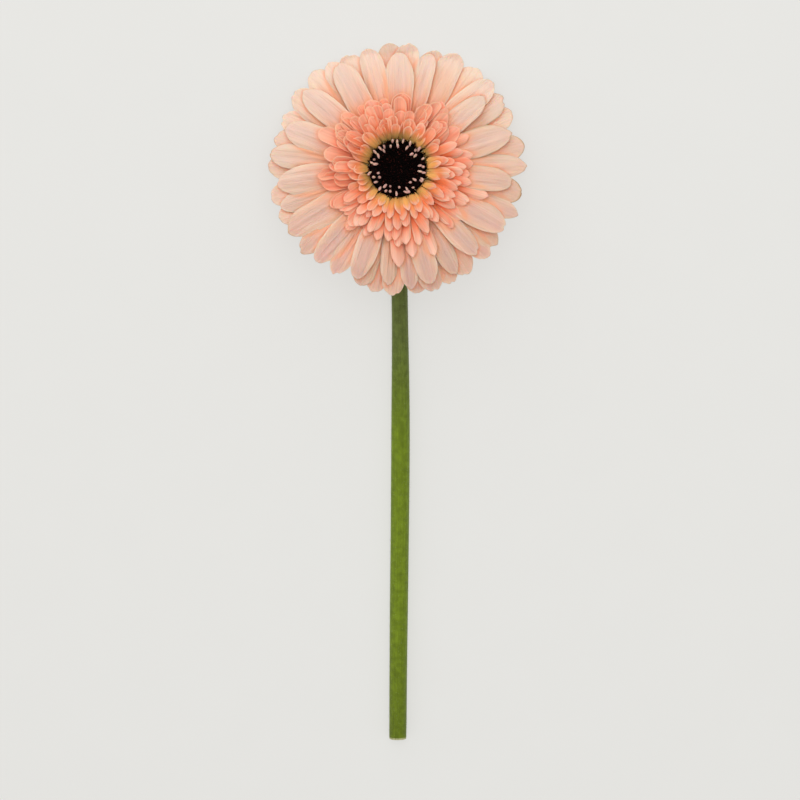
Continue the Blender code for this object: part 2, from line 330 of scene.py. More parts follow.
def ray_material():
    """Peach florets: coral at the foot, blush down the middle, cream at the rim, fine long veins, with
    painted shade on the stem's side of the head, painted light on its far side, a painted glow at the
    sides near the foot and painted shade in the crevices where florets pass under each other.

    blade holds (across -1 to 1, along 0 to 1, distance from the rim in mm); place holds (distance
    from the flower's axis in mm, how far to the stem's side it lies, which sets the painted shade, the
    floret's own random number); tone holds how cream it is (more on the far side, as painted light),
    how stained it is (more on the right, as painted shade) and how blushed it is; cover holds how
    near it is to passing under another, which sets the painted crevice shade.
    """
    n = Nodes("ray_floret_peach")
    across, along, rim = n.attribute("blade")
    radius, down, own = n.attribute("place")
    cream_and_far_light, stain_and_shade, blush = n.attribute("tone")
    crevice_shade, _, _ = n.attribute("cover")
    blade = (across, along, n.times(own, 57.0))
    streaks = n.blade_noise(blade, 2.0, 0.9)
    veins = n.blade_noise(blade, 13.0, 0.9, 3.0, 0.6)
    lines = n.blade_noise(blade, 6.0, 0.6)
    clouds = n.blade_noise(blade, 1.4, 3.0)
    wrinkles = n.blade_noise(blade, 4.5, 4.0, 3.0, 0.55)
    off_middle = n.math("ABSOLUTE", across)
    middle = n.step(0.95, 0.1, off_middle)
    outer = n.step(0.2, 0.7, along)

    body = n.times(n.step(0.3, 0.65, along), middle)
    # cream patches, more on the far side of the head as painted light
    far_lit_cream_patches = n.times(cream_and_far_light, n.step(0.3, 0.6, clouds, 0.6, 1.0))
    colour = n.layers(
        n.ramp(n.math("DIVIDE", radius, RAY_COLOUR_REACH), RAY_COLOURS),
        (BLUSH, 2.2, n.times(body, n.times(blush, streaks))),
        (CREAM, 0.7, n.times(n.step(0.40, 0.95, along), far_lit_cream_patches)),
        (WARM_CORAL, 0.6, n.times(n.step(0.55, 0.75, streaks), n.step(0.9, 0.4, along))),
    )
    colour = n.scale_colour(colour, n.step(0.3, 0.7, veins, 0.92, 1.04))
    colour = n.scale_colour(colour, n.step(0.3, 0.7, clouds, 0.94, 1.04))

    # painted shade on the stem's side of the head, towards the tips
    painted_shade = n.times(down, outer)
    # painted light on the far side of the head
    lit = n.math("SUBTRACT", 1.0, down)
    creased = n.times(stain_and_shade, n.step(0.55, 0.95, along))
    edge = n.math("ADD", n.times(n.step(0.75, 0.15, rim), 0.4), n.times(n.step(2.0, 0.3, rim), 0.3))
    colour = n.layers(
        colour,
        # painted shade on the stem's side, rose down the middle, and painted light on the far side
        (PAINTED_SHADE_PEACH, 0.55, painted_shade),
        (PAINTED_SHADE_ROSE, 0.8, n.times(n.times(painted_shade, middle), blush)),
        (PAINTED_LIGHT_PEACH, 0.5, n.times(lit, n.step(0.45, 0.95, along))),
        # painted glow at the sides near the foot, where light comes through the gaps between petals
        (PAINTED_GAP_GLOW, 0.6, n.times(n.step(0.4, 1.0, off_middle), n.step(0.8, 0.35, along))),
        # painted crevice shade on the lower parts of the creamier, lower-tier florets
        (PAINTED_CREVICE_APRICOT, 0.3, n.times(n.step(0.93, 0.72, along), cream_and_far_light)),
        (PALE_STREAK, 0.35, n.times(n.step(0.52, 0.70, lines), outer)),
        # painted crevice shade where the floret passes under another
        (PAINTED_CREVICE_CORAL, 0.5, n.times(crevice_shade, n.step(1.0, 0.7, along))),
        (PAINTED_DEEP_CREVICE, 0.4, n.step(0.6, 1.0, crevice_shade)),
        (RIM_CREAM, 1.0, n.times(edge, outer)),
        # tan tips where the floret is stained, with painted shade added on the right
        (TAN_STAIN_AND_SHADE, 0.4, n.times(stain_and_shade, n.step(0.5, 0.95, along))),
        (OCHRE, 0.9, n.times(n.step(1.3, 0.15, rim), n.times(stain_and_shade, n.step(0.35, 0.65, clouds)))),
        (BROWN, 0.9, n.times(n.step(0.55, 0.1, rim), n.times(stain_and_shade, n.step(0.4, 0.9, along)))),
        (CREASE_BROWN, 0.6, n.times(n.step(0.60, 0.72, veins), creased)),
    )
    n.bump(n.math("ADD", n.times(veins, 0.35), wrinkles), 0.7 * MM, 0.9)
    return n.finish(
        colour, n.step(0.3, 0.7, veins, 0.40, 0.52), 0.4,
        Subsurface_Weight=0.35, Subsurface_Radius=(1.0, 0.4, 0.2), Subsurface_Scale=1.3 * MM,
        Sheen_Weight=0.03, Sheen_Roughness=0.5,
    )


def trans_material():
    """Short florets: yellow-green foot near the eye, coral body, pale pink tips and rolled rims, with
    painted light on the scoops and painted shade at the feet and in the crevices.

    blade and cover are as for the ray florets, cover setting the painted crevice shade; place holds
    (distance from the flower's axis in mm, how much of a scoop it is, which also sets painted light,
    its own random number); tone holds how pale the tip is, how yellow
    the body is, and another random number.
    """
    n = Nodes("trans_floret_coral")
    across, along, rim = n.attribute("blade")
    radius, scoop, own = n.attribute("place")
    pale, yellow, chance = n.attribute("tone")
    crevice_shade, _, _ = n.attribute("cover")
    veins = n.blade_noise((across, along, n.times(own, 91.0)), 4.0, 0.8)
    foot = n.times(n.step(0.75, 0.25, along), n.step(16.0, 19.0, radius))
    paleness = n.math("ADD", n.times(pale, 0.6), n.times(chance, 0.2))
    colour = n.layers(
        n.ramp(n.math("DIVIDE", radius, TRANS_COLOUR_REACH), TRANS_COLOURS),
        (YELLOW, 1.0, n.times(yellow, n.step(1.0, 0.4, along))),
        # deeper coral at the foot, its own colour and painted crevice shade under the next ring
        (CORAL_RED_AND_CREVICE_SHADE, 1.0, n.times(foot, n.step(0.0, 1.0, scoop, 0.65, 0.1))),
        # painted light: the scoops, which lie towards the upper left, are lighter
        (PAINTED_LIGHT_CORAL, 0.55, n.times(scoop, n.step(15.0, 22.0, radius))),
        (PINK_TIP, 1.0, n.times(n.step(0.55, 1.0, along), paleness)),
    )
    colour = n.scale_colour(colour, n.step(0.3, 0.7, veins, 0.90, 1.06))
    rolled = n.times(n.step(0.85, 0.2, rim), n.step(0.3, 0.85, along))
    colour = n.layers(
        colour,
        # painted crevice shade where the floret passes under another
        (PAINTED_CREVICE_RED, 0.55, n.times(crevice_shade, n.step(14.0, 18.0, radius))),
        (ROLLED_RIM, 1.0, n.times(rolled, n.step(0.1, 0.9, chance, 0.3, 0.8))),
    )
    n.bump(veins, 0.15 * MM, 0.7)
    return n.finish(
        colour, n.step(0.3, 0.7, veins, 0.42, 0.55), 0.28,
        Subsurface_Weight=0.3, Subsurface_Radius=(1.0, 0.3, 0.15), Subsurface_Scale=1.0 * MM,
        Sheen_Weight=0.02, Sheen_Roughness=0.5,
    )


def dark_material():
    n = Nodes("disc_dark_maroon")
    speckle = n.grain(900.0, 2.0)
    colour = n.mix(n.step(0.55, 0.75, speckle), (0.0022, 0.0009, 0.0007), (0.050, 0.010, 0.008))
    n.bump(speckle, 0.1 * MM, 0.6)
    return n.finish(colour, n.step(0.3, 0.7, speckle, 0.6, 0.8), 0.04)


def anther_material():
    n = Nodes("anther_pink_beige")
    grains = n.grain(3200.0, 2.0)
    patches = n.grain(420.0, 1.0)
    colour = n.mix(n.step(0.35, 0.7, grains), (0.50, 0.25, 0.21), (0.76, 0.48, 0.41))
    colour = n.mix(n.step(0.5, 0.75, patches), colour, (0.74, 0.52, 0.34))
    n.bump(grains, 0.12 * MM, 0.8)
    return n.finish(colour, 0.75, 0.2, Subsurface_Weight=0.1, Subsurface_Scale=0.5 * MM)


def filament_material():
    n = Nodes("pappus_yellow_green")
    patches = n.grain(900.0, 1.0)
    colour = n.mix(n.step(0.35, 0.65, patches), (0.42, 0.40, 0.14), (0.72, 0.62, 0.36))
    return n.finish(colour, n.step(0.3, 0.7, patches, 0.5, 0.65))


def feet_material():
    n = Nodes("floret_foot_pale_green")
    patches = n.grain(700.0, 2.0)
    colour = n.mix(n.step(0.3, 0.7, patches), (0.36, 0.38, 0.13), (0.62, 0.44, 0.24))
    return n.finish(colour, n.step(0.3, 0.7, patches, 0.45, 0.6))


def stem_material():
    """Green skin with long fibres and mottling; pith and a pale rim on the cut face.

    skin holds (share round the stem, length along it in mm, distance from its middle in mm on the
    cut face, or OFF_FACE on the skin).
    """
    n = Nodes("stem_velvet_green")
    around, length, core = n.attribute("skin")
    turn = n.times(around, math.tau)
    ring_x, ring_y = n.math("COSINE", turn), n.math("SINE", turn)

    def round_noise(round_scale, length_scale, detail):
        x, y = n.times(ring_x, round_scale), n.times(ring_y, round_scale)
        return n.noise(n.join(x, y, n.times(length, length_scale)), 1.0, detail, 0.6)

    fibres = round_noise(9.0, 0.05, 3.0)
    mottle = round_noise(1.5, 0.35, 4.0)
    colour = n.ramp(
        n.math("DIVIDE", length, 300.0),
        [(0.0, (0.125, 0.172, 0.012)), (0.20, (0.155, 0.220, 0.013)), (0.50, (0.155, 0.222, 0.014)),
         (0.575, (0.125, 0.172, 0.020)), (0.65, (0.118, 0.152, 0.035)), (1.0, (0.125, 0.155, 0.046))],
    )
    colour = n.scale_colour(colour, n.step(0.3, 0.7, fibres, 0.92, 1.20))
    colour = n.scale_colour(colour, n.step(0.3, 0.7, mottle, 0.80, 1.16))
    face = n.ramp(
        n.math("DIVIDE", core, 4.0),
        [(0.0, (0.50, 0.52, 0.26)), (0.55, (0.55, 0.56, 0.30)), (0.80, (0.42, 0.46, 0.16)),
         (0.92, (0.30, 0.38, 0.10)), (1.0, (0.62, 0.60, 0.34))],
    )
    colour = n.mix(n.step(4.3, 4.2, core), colour, face)
    frayed = n.times(n.step(1.3, 0.5, length), n.step(0.3, 0.55, fibres))
    colour = n.mix(n.times(frayed, n.step(4.2, 4.3, core)), colour, (0.62, 0.60, 0.33))
    n.bump(n.math("ADD", fibres, n.times(mottle, 0.5)), 0.25 * MM, 0.7)
    return n.finish(
        colour, n.step(0.3, 0.7, fibres, 0.55, 0.7), 0.12,
        Sheen_Weight=0.2, Sheen_Roughness=0.4, Sheen_Tint=(0.75, 0.85, 0.6),
    )


def bract_material():
    n = Nodes("bract_downy_green")
    across, along, rim = n.attribute("blade")
    _, _, own = n.attribute("place")
    veins = n.blade_noise((across, along, n.times(own, 71.0)), 4.0, 1.0, 3.0)
    colour = n.ramp(
        along,
        [(0.0, (0.12, 0.17, 0.04)), (0.7, (0.15, 0.21, 0.05)), (1.0, (0.17, 0.10, 0.05))],
    )
    colour = n.mix(n.times(n.step(0.5, 0.1, rim), 0.5), colour, (0.33, 0.36, 0.16))
    colour = n.scale_colour(colour, n.step(0.3, 0.7, veins, 0.8, 1.2))
    n.bump(veins, 0.2 * MM, 0.8)
    return n.finish(
        colour, 0.6, 0.25,
        Sheen_Weight=0.4, Sheen_Roughness=0.4, Sheen_Tint=(0.8, 0.85, 0.7),
    )


def hair_material():
    n = Nodes("stem_hair_pale")
    patches = n.grain(300.0, 1.0)
    colour = n.mix(patches, (0.30, 0.37, 0.16), (0.47, 0.52, 0.30))
    return n.finish(colour, n.step(0.3, 0.7, patches, 0.5, 0.65))


def floor_material():
    n = Nodes("floor_warm_white")
    colour = n.mix(n.grain(40.0, 3.0), (0.803, 0.798, 0.771), (0.815, 0.810, 0.783))
    lit = n.scale_colour(colour, 1 - FLOOR_GLOW)
    return n.finish(lit, 0.9, 0.05, Emission_Color=colour, Emission_Strength=FLOOR_GLOW)


# ---- ray florets

RAY_COLUMNS = 26
RAY_ROWS = 38
RAY_THICKNESS = 0.32 * MM
# how far the painted crevice shade reaches from the edge of a floret above
PAINTED_CREVICE_REACH = 3.2 * MM
LOWER_WIDER = 1.16  # the soft sides of the two lower tiers' florets reach past the CAD blades
UPPER_WIDER = 1.05  # the same for the two upper tiers
SHADE_TURN = math.radians(8)  # how far the side with painted shade lies past the stem
RIGHT_STAIN_AND_SHADE_ANGLE = math.radians(15)  # how far the florets with the most stain and painted shade lie past straight right
RAY_SEED = 1000


def on_blade(across, **vectors):
    """Attributes for a blade's grid, of three values each. A value may be one for the whole blade."""
    return {
        key: np.stack([np.broadcast_to(value, across.shape) for value in values], axis=-1)
        for key, values in vectors.items()
    }


def tip_curve(across, point):
    """How far a tip's edge falls back from its middle to its sides: round, or pointed by a share."""
    return (1 - point) * (1 - np.sqrt(np.maximum(1 - across**2, 0))) + point * np.abs(across)


def from_rim(across, half, end, forward):
    """Distance from a blade's nearest edge, in mm."""
    return np.minimum((1 - np.abs(across)) * half, np.maximum(end - forward, 0)) / MM


def blade_lines(columns, rows):
    """(across, along) for a blade's grid: lines crowd towards the sides and the tip."""
    across = np.sin(np.linspace(-math.pi / 2, math.pi / 2, columns + 1))
    along = 1 - (1 - np.linspace(0, 1, rows + 1)) ** 1.25
    return np.meshgrid(across, along, indexing="ij")


def unpressed(points, tier):
    """Points of a CAD blade in flower coordinates, as before it was pressed onto the floor."""
    free = moved(points, TO_HEAD)
    origin = HEAD.translation.y
    for _ in range(3):
        height = tier * TIER_SPACING + arch(np.hypot(free[:, 0], free[:, 1]))
        free[:, 1] = (points[:, 1] - origin - height * math.sin(FACE_TILT)) / math.cos(FACE_TILT)
    return free


def ray_facts(node):
    """What the CAD blade says of its floret: bearing, reach, full width and tier."""
    points = points_of(node)
    placed = moved(points, TO_HEAD)
    foot = placed[np.hypot(placed[:, 0], placed[:, 1]) < RAY_INNER + 0.5 * MM]
    tier = round(foot[:, 2].mean() / TIER_SPACING)
    free = unpressed(points, tier)
    middle = free.mean(axis=0)
    bearing = math.atan2(middle[0], middle[1])
    flat = turned(free, -bearing)
    return {"bearing": bearing, "reach": flat[:, 1].max(), "width": np.ptp(flat[:, 0]), "tier": tier}


def rested(points, tier):
    """Points in the row frame, with those that would dip under the surface pressed flat onto it."""
    floor = RAY_THICKNESS / 2 + tier * FLOOR_TIER_SPACING
    over = points[..., 2] - floor
    points[..., 2] = floor + (over + np.hypot(over, FLOOR_EASE)) / 2
    return points


def ray_ends(across, length, width, tier, rng):
    """How far each line of a blade reaches: a rounded tip with a notch and a ragged edge."""
    curve = tip_curve(across, rng.uniform(0.0, 0.22))
    tip_depth = width * (rng.uniform(0.5, 0.8) + 0.25 * (tier > 1))
    notch_at = rng.uniform(-0.35, 0.35)
    notch = rng.uniform(-0.3, 0.95) * MM * np.exp(-(((across - notch_at) / 0.14) ** 2))
    ragged = rng.uniform(0.05, 0.3) * MM
    ragged = ragged * np.sin(across * rng.uniform(6, 13) + rng.uniform(0, math.tau))
    return length - tip_depth * curve - np.maximum(notch, 0) - np.maximum(ragged, 0)


def ray_half_widths(across, share, width, rng):
    """Half a blade's width: narrow at the foot, widest past the middle, with slightly wavy sides."""
    widest = rng.uniform(0.58, 0.68)
    swell = np.sin(np.pi / 2 * np.clip(share / widest, 0, 1)) ** 1.3
    taper = 1 - rng.uniform(0.02, 0.12) * smooth(widest, 1.0, share)
    half = width / 2 * (0.25 + 0.75 * swell) * taper
    wander = np.sin(math.tau * (rng.uniform(1.5, 3.0) * share + rng.uniform() + 0.35 * (across > 0)))
    return half * (1 + rng.uniform(0.01, 0.045) * wander * smooth(0.3, 0.6, share))


def ray_heights(across, share, sideways, surface, rng):
    """A blade's surface with grooves, swells, drooping sides, a roll and a wave."""
    body = smooth(0.05, 0.45, share)
    height = surface
    grooves = rng.integers(2, 5)
    for groove in range(grooves):
        groove_at = -0.62 + 1.24 * (groove + rng.uniform(0.2, 0.8)) / grooves
        dip = np.exp(-(((across - groove_at) / rng.uniform(0.10, 0.24)) ** 2))
        height -= rng.uniform(0.3, 0.85) * MM * dip * body * (1 - 0.7 * smooth(0.75, 1.0, share))
    swells = rng.uniform(1.2, 2.4) * share + rng.uniform()
    height += rng.uniform(0.05, 0.3) * MM * np.sin(math.tau * swells) * (1 - across**2) * body
    droop = rng.uniform(0.7, 1.7) * MM
    height -= droop * np.abs(across) ** 2.4 * body
    roll = math.radians(rng.normal(4.5, 4.0))
    height += sideways * math.tan(roll) * body
    wave = rng.uniform(0.1, 0.5) * MM
    height += wave * np.sin(math.tau * (rng.uniform(0.8, 1.7) * share + rng.uniform())) * across * body
    height += rng.normal(0.1, 0.3) * MM * smooth(0.2, 0.9, share)
    height -= rng.uniform(0.2, 1.5) * MM * smooth(0.78, 1.05, share) ** 1.6
    return height


def ray_tones(bearing, tier, rng):
    """(cream, stain and shade, blush) of a ray floret: cream beyond the eye and painted light on the far
    side; stained edges on the right, with painted shade there too.
    """
    right = max(0.0, math.sin(bearing - RIGHT_STAIN_AND_SHADE_ANGLE)) ** 2
    # the cosine term makes florets on the far side creamier, as painted light
    cream_and_far_light = np.clip(0.8 - tier / 3.4 + rng.normal(0, 0.22) + 0.4 * math.cos(bearing), 0, 1)
    # stain at random, and more on the right as painted shade
    stain_and_shade = np.clip(rng.uniform(-0.6, 0.3) + 0.8 * right * (1 - tier / 6), 0, 1)
    blush = np.clip(0.35 + 0.3 * tier / 3 + rng.normal(0, 0.2), 0, 1)
    return cream_and_far_light, stain_and_shade, blush


def ray_blade(facts, number):
    rng = np.random.default_rng(RAY_SEED + number)
    across, along = blade_lines(RAY_COLUMNS, RAY_ROWS)
    bearing = facts["bearing"]
    tier = facts["tier"]
    far = math.cos(bearing)
    length = facts["reach"] * (1.01 + 0.042 * far + 0.02 * far**2) - RAY_INNER
    width = facts["width"] * (UPPER_WIDER if tier > 1 else LOWER_WIDER)

    end = ray_ends(across, length, width, tier, rng)
    forward = along * end
    share = forward / length
    half = ray_half_widths(across, share, width, rng)
    sideways = across * half
    rim = from_rim(across, half, end, forward)
    radius = RAY_INNER + forward
    height = ray_heights(across, share, sideways, tier * TIER_SPACING + arch(radius), rng)
    sideways = sideways + rng.normal(0, 0.7) * MM * share**2

    flat = np.stack([sideways, radius, height], axis=-1)
    points = rested(moved(turned(flat, bearing), HEAD), tier)
    # painted shade by bearing: 0 on the far side of the head, 1 on the stem's side
    down = (1 - math.cos(bearing + SHADE_TURN)) / 2
    tone = ray_tones(bearing, tier, rng)
    place = (radius / MM, down, rng.uniform())
    return points, on_blade(across, blade=(across, along, rim), place=place, tone=tone)


def outline(points):
    """A blade's sides and tip."""
    return np.concatenate([points[0], points[-1], points[:, -1]])


def from_above(points):
    """Points in flower coordinates, nearly flattened, so that gaps are those seen from above."""
    return moved(points, TO_HEAD) * np.array([1.0, 1.0, 0.25])


def paint_crevices(grid, above, reach):
    """Adds cover to a blade, which sets its painted crevice shade: 1 where one above it ends, 0 further
    off than reach.
    """
    points, attributes = grid
    cover = np.zeros(points.shape[:2])
    if above:
        edges = from_above(np.concatenate(above))
        tree = kdtree.KDTree(len(edges))
        for number, edge in enumerate(edges):
            tree.insert(edge, number)
        tree.balance()
        gaps = [tree.find(point)[2] for point in from_above(points).reshape(-1, 3)]
        cover = 1 - smooth(0, reach, np.array(gaps).reshape(cover.shape))
    attributes.update(on_blade(cover, cover=(cover, cover, cover)))


def ray_florets(frill):
    """The long florets, with painted crevice shade where they pass under each other and under the frill, a
    list of outlines.
    """
    material = ray_material()
    nodes = sorted(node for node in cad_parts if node.startswith("ray_floret"))
    facts = [ray_facts(node) for node in nodes]
    blades = [ray_blade(fact, number) for number, fact in enumerate(facts)]
    for node, fact, grid in zip(nodes, facts, blades):
        tier = fact["tier"]
        # painted crevice shade where a floret passes under one of a higher tier or under the frill
        above = [outline(other) for upper, (other, _) in zip(facts, blades) if upper["tier"] > tier]
        paint_crevices(grid, above + frill, PAINTED_CREVICE_REACH)
        name = node.replace("ray_floret", "petal")
        add_mesh(name, [grid], material, [node], RAY_THICKNESS)


# ---- trans florets

TRANS_COLUMNS = 12
TRANS_ROWS = 18
TRANS_THICKNESS = 0.28 * MM
TRANS_FOOT = 12.0 * MM
# how far the painted crevice shade reaches from the edge of a short floret above
SHORT_PAINTED_CREVICE_REACH = 1.5 * MM
SCOOP_TURN = math.radians(35)  # how far the most scooped florets lie before straight up
YELLOW_REACH = 27.0 * MM  # florets shorter than this are yellower
YELLOW_FADE = 8.0 * MM
LONG_WIDER = 1.1  # the long florets' soft sides reach past the CAD lobes

LONG_FLORETS = (  # (bearing in degrees, reach in mm, full width in mm), as in the CAD
    (3, 31.5, 6.5), (38, 33.5, 6.5), (62, 30.5, 6.0), (84, 31.5, 6.0),
    (109, 39.0, 6.0), (132, 34.5, 5.6), (144.5, 33.0, 5.2), (156.5, 39.0, 5.6),
    (167, 37.2, 5.4), (177.5, 31.0, 4.8), (188, 40.2, 6.2), (202, 31.0, 6.0),
    (223, 31.0, 6.0), (238, 31.8, 5.6), (256, 32.0, 6.6), (286, 31.0, 6.0),
    (302, 36.0, 5.6), (318, 30.5, 5.8), (346, 30.5, 6.4),
)
SHORT_RINGS = (  # (row, florets, reach, its spread, width, height of foot, height of tip), in mm
    (1, 30, 31.0, 1.9, 4.7, 5.3, 8.1),
    (2, 29, 28.0, 1.8, 4.6, 6.5, 9.5),
    (3, 28, 25.0, 1.7, 4.3, 7.5, 10.5),
    (3, 26, 21.6, 1.4, 4.2, 8.2, 11.1),
    (4, 24, 18.4, 1.2, 4.1, 8.4, 11.3),
)


def trans_heights(across, share, rim, width, scoop, foot, tip, rng):
    """A short floret's heights: it rises to its tip, cupped if it is a scoop, humped if it is not."""
    height = foot + (tip - foot) * np.sin(np.pi / 2 * np.clip(share, 0, 1.0)) ** 0.85
    cupped = smooth(0.05, 0.5, share)
    height += scoop * rng.uniform(0.16, 0.26) * width * np.abs(across) ** 2.2 * cupped
    height += scoop * rng.uniform(0.1, 0.7) * MM * smooth(0.75, 1.02, share) ** 2
    height -= (1 - scoop) * rng.uniform(0.24, 0.36) * width * np.abs(across) ** 2.2 * cupped
    height -= (1 - scoop) * rng.uniform(0.3, 1.3) * MM * smooth(0.55, 1.0, share) ** 1.7
    height -= rng.uniform(0.05, 0.22) * MM * np.exp(-((across / 0.14) ** 2)) * cupped
    height += scoop * 0.28 * MM * smooth(0.75, 0.15, rim) * cupped
    return height


def trans_blade(bearing, reach, width, foot, tip, rng):
    """One short floret: a scoop with a rolled rim above the eye, a blunt convex finger below it."""
    across, along = blade_lines(TRANS_COLUMNS, TRANS_ROWS)
    length = reach - TRANS_FOOT
    scoop = 0.5 + 0.9 * math.cos(bearing + SCOOP_TURN) + rng.normal(0, 0.25)
    scoop = float(np.clip(scoop, 0, 1))
    width = width * (0.80 + 0.34 * scoop)
    curve = tip_curve(across, rng.uniform(0.0, 0.25) + 0.25 * (1 - scoop))
    depth = width * (rng.uniform(0.5, 0.7) + 0.25 * (1 - scoop))
    end = length - depth * curve
    forward = along * end
    share = forward / length
    swell = np.sin(np.pi / 2 * np.clip(share / 0.7, 0, 1)) ** 1.1
    half = width / 2 * (0.42 + 0.58 * swell)
    sideways = across * half
    rim = from_rim(across, half, end, forward)

    height = trans_heights(across, share, rim, width, scoop, foot, tip, rng)
    height += sideways * math.tan(math.radians(rng.normal(0, 17)))
    lean = math.tan(math.radians(rng.normal(0, 8.5)))
    sideways = sideways + lean * forward + rng.normal(0, 0.5) * MM * share**2

    flat = np.stack([sideways, TRANS_FOOT + forward, height], axis=-1)
    points = moved(turned(flat, bearing), HEAD)
    pale = np.clip(0.9 - 0.7 * scoop + rng.normal(0, 0.15), 0, 1)
    inner = np.clip((YELLOW_REACH - reach) / YELLOW_FADE, 0, 1)
    yellow = np.clip((0.9 - 0.75 * scoop + rng.normal(0, 0.15)) * inner, 0, 1)
    place = ((TRANS_FOOT + forward) / MM, scoop, rng.uniform())
    tone = (pale, yellow, rng.uniform())
    return points, on_blade(across, blade=(across, along, rim), place=place, tone=tone)


def long_blades(rng):
    foot = RAY_TIERS * TIER_SPACING
    blades = []
    for degrees, reach, width in LONG_FLORETS:
        tip = foot + arch(reach * MM) + rng.uniform(0.2, 0.7) * MM
        wide = width * LONG_WIDER * MM
        blades.append(trans_blade(math.radians(degrees), reach * MM, wide, foot, tip, rng))
    return blades


def short_blades(ring, count, reach, spread, width, foot, tip, rng):
    """One ring of short florets. Every second ring is turned by half a floret."""
    blades = []
    for step in range(count):
        bearing = math.tau * (step + 0.5 * (ring % 2) + rng.normal(0, 0.18)) / count
        out = (reach + spread * rng.uniform(-1, 1)) * MM
        wide = width * rng.uniform(0.8, 1.18) * MM
        low = (foot + rng.normal(0, 0.15)) * MM
        high = (tip + rng.normal(0, 0.5)) * MM
        blades.append(trans_blade(bearing, out, wide, low, high, rng))
    return blades


def trans_florets():
    """The short florets, from the outer ring in. Returns the outlines of the two outer rings."""
    material = trans_material()
    rng = np.random.default_rng(77)
    rings = [(1, long_blades(rng))]
    for ring, (row, *sizes) in enumerate(SHORT_RINGS):
        rings.append((row, short_blades(ring, *sizes, rng)))
    # painted crevice shade where a floret passes under one of the rings inside it
    for place, (row, blades) in enumerate(rings):
        above = [outline(points) for _, uppers in rings[place + 1:] for points, _ in uppers]
        for blade in blades:
            paint_crevices(blade, above, SHORT_PAINTED_CREVICE_REACH)
    for row in (1, 2, 3, 4):
        grids = [blade for of_row, blades in rings if of_row == row for blade in blades]
        node = f"trans_florets_row_{row}"
        add_mesh(f"short_petals_row_{row}", grids, material, [node], TRANS_THICKNESS)
    return [outline(points) for _, blades in rings[:2] for points, _ in blades]


# ---- disc

GOLDEN_ANGLE = math.pi * (3 - math.sqrt(5))
BUDS = 260  # closed florets in the middle of the eye
BUD_SPREAD = 8.9 * MM
TUBE_RINGS = ((21, 8.9, 0.05), (26, 10.5, 0.45), (36, 11.3, 0.75))  # (florets, radius in mm, lean)
ANTHER_RINGS = ((18, 8.1, 0.6), (26, 10.1, 0.9))  # the same
LOBES = 4  # seen of each open floret's mouth
LOBE_THICKNESS = 0.1 * MM
BRISTLES = 46
BASE_SIDES = 48
BASE_PROFILE = (  # (radius, height) in mm, from the eye's middle down to the foot of its column
    (0.001, 7.2), (4, 7.2), (8, 7.4), (10.2, 7.9), (11.3, 7.7), (11.6, 7.0),
    (11.2, 6.2), (9.5, 5.6), (8.3, 5.2), (8.2, 2.0), (8.2, -0.4), (0.001, -0.4),
)
FEET = 54  # the feet of the ray florets, packed side by side where they leave the cup
FEET_RADIUS = 8.4 * MM
FEET_RIB = 0.3 * MM
FEET_BOTTOM, FEET_TOP = -0.8 * MM, 5.3 * MM


def around(bearing, radius, height):
    """A point in flower coordinates."""
    return np.array([radius * math.sin(bearing), radius * math.cos(bearing), height])


def leaning(bearing, out):
    """A unit vector in flower coordinates that leans outwards by an angle from the axis."""
    return around(bearing, math.sin(out), math.cos(out))


def bent(foot, axis, along, side, aside):
    """Points that lie along an axis from a foot, shifted to one side."""
    return foot + np.outer(along, axis) + np.outer(aside, side)


def head_tube(path, radii, sides):
    """A tube round a path in flower coordinates."""
    return moved(tube_grid(path, radii, sides)[0], HEAD), {}


def bud_grid(place, axis, radius, length, sides=8, rings=6):
    """A small closed egg that stands on place along axis."""
    along = np.linspace(0.0, 1.0, rings + 1)
    radii = radius * np.sin(np.pi * np.clip(along, 0.02, 0.985)) ** 0.6
    return head_tube(place + np.outer(along * length, axis), radii, sides)


def turned_grid(turn, radii, heights):
    """A surface round the flower's axis, with a row for each angle in turn."""
    radii = np.broadcast_to(radii, (len(turn), len(heights)))
    x = np.sin(turn)[:, None] * radii
    y = np.cos(turn)[:, None] * radii
    return moved(np.stack([x, y, np.broadcast_to(heights, radii.shape)], axis=-1), HEAD), {}


def disc():
    """The eye. Its parts share one random stream, so they are made in this order."""
    dark = dark_material()
    rng = np.random.default_rng(5)
    add_mesh("disc_buds", closed_buds(rng), dark, ["disc_florets"], wrap=True)
    add_mesh("disc_base", [disc_base()], dark, wrap=True)
    add_mesh("floret_feet", [floret_feet()], feet_material(), wrap=True)
    tubes, lobes = open_florets(rng)
    anthers = anther_columns(rng)
    add_mesh("disc_tubes", tubes, dark, wrap=True)
    add_mesh("disc_lobes", lobes, dark, thickness=LOBE_THICKNESS)
    add_mesh("anthers", anthers, anther_material(), wrap=True)
    add_mesh("pappus", pappus(rng), filament_material(), wrap=True)


def closed_buds(rng):
    """Buds in a spiral, as seeds lie in a sunflower."""
    buds = []
    for i in range(BUDS):
        outward = math.sqrt((i + 0.5) / BUDS)
        height = EYE_EDGE_HEIGHT - 1.6 * MM + 0.9 * MM * outward**2
        foot = around(GOLDEN_ANGLE * i, BUD_SPREAD * outward, height)
        axis = leaning(GOLDEN_ANGLE * i, 0.5 * outward)
        size = (0.44 + 0.12 * outward) * MM
        buds.append(bud_grid(foot, axis, size, rng.uniform(1.0, 1.5) * MM))
    return buds


def disc_base():
    turn = np.linspace(0, math.tau, BASE_SIDES, endpoint=False)
    radii, heights = np.array(BASE_PROFILE).T * MM
    return turned_grid(turn, radii, heights)


def floret_feet():
    """A ribbed band, one rib for each foot."""
    turn = np.linspace(0, math.tau, 8 * FEET, endpoint=False)
    ribs = FEET_RADIUS + FEET_RIB * np.abs(np.sin(FEET / 2 * turn))
    return turned_grid(turn, ribs[:, None], np.linspace(FEET_BOTTOM, FEET_TOP, 6))


